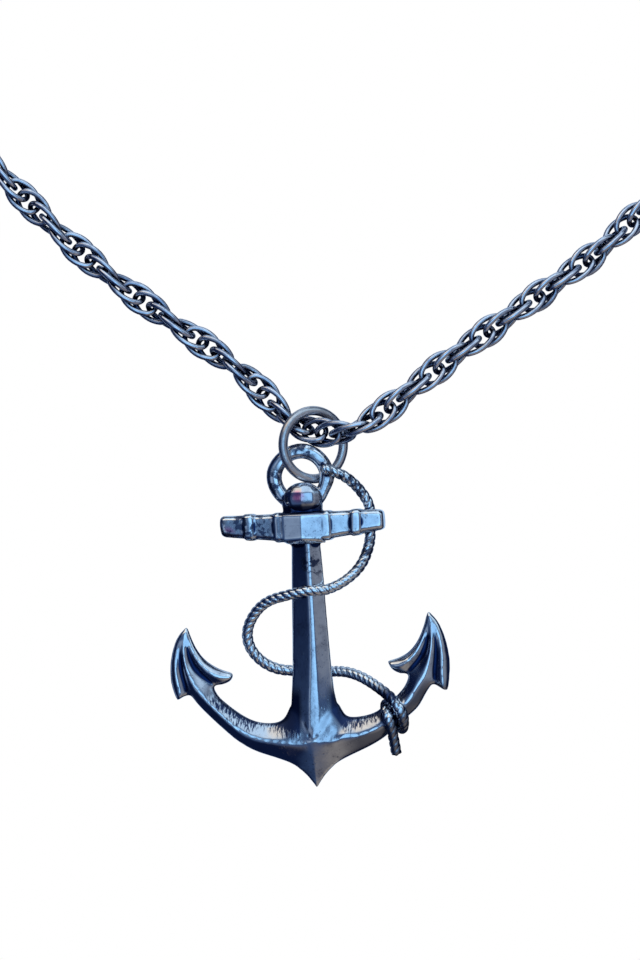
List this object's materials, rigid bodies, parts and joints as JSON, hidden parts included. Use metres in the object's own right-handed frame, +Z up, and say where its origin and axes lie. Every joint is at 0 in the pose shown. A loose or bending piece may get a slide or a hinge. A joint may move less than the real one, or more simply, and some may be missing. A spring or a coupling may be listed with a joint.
{
  "type": "anchor pendant necklace",
  "caption": "Anchor pendant with a rope twined round its shank, hung by a jump ring on a whole loop of oval-link chain with a plain clasp at the nape.",
  "frame": {"origin": "the nape: middle of the clasp's face that lies on the neck", "axes": "+X to the right as seen from the front, +Y from the front to the back, +Z up; the anchor hangs at the front"},
  "size_m": [0.1484, 0.1254, 0.1828],
  "materials": {
    "cast_metal": "antiqued, polished high spots, dark in the recesses",
    "ring_metal": "gunmetal plated wire",
    "chain_metal": "gunmetal plated wire"
  },
  "bodies": {
    "chain": {"chain": "chain_metal", "end_ring_left": "ring_metal", "end_ring_right": "ring_metal", "clasp": "ring_metal"},
    "jump_ring": {"jump_ring": "ring_metal"},
    "anchor": {"anchor": "cast_metal"}
  },
  "joints": [
    {"name": "ring_on_chain", "type": "hinge", "parent": "chain", "child": "jump_ring", "pos_m": [0.0023, -0.11682, -0.12606], "axis": [0.8377, 0.5461, 0], "range_deg": [-30, 30]},
    {"name": "anchor_on_ring", "type": "hinge", "parent": "jump_ring", "child": "anchor", "pos_m": [0.00068, -0.11776, -0.13515], "axis": [0.8261, 0.4393, -0.353], "range_deg": [-12, 12]}
  ]
}
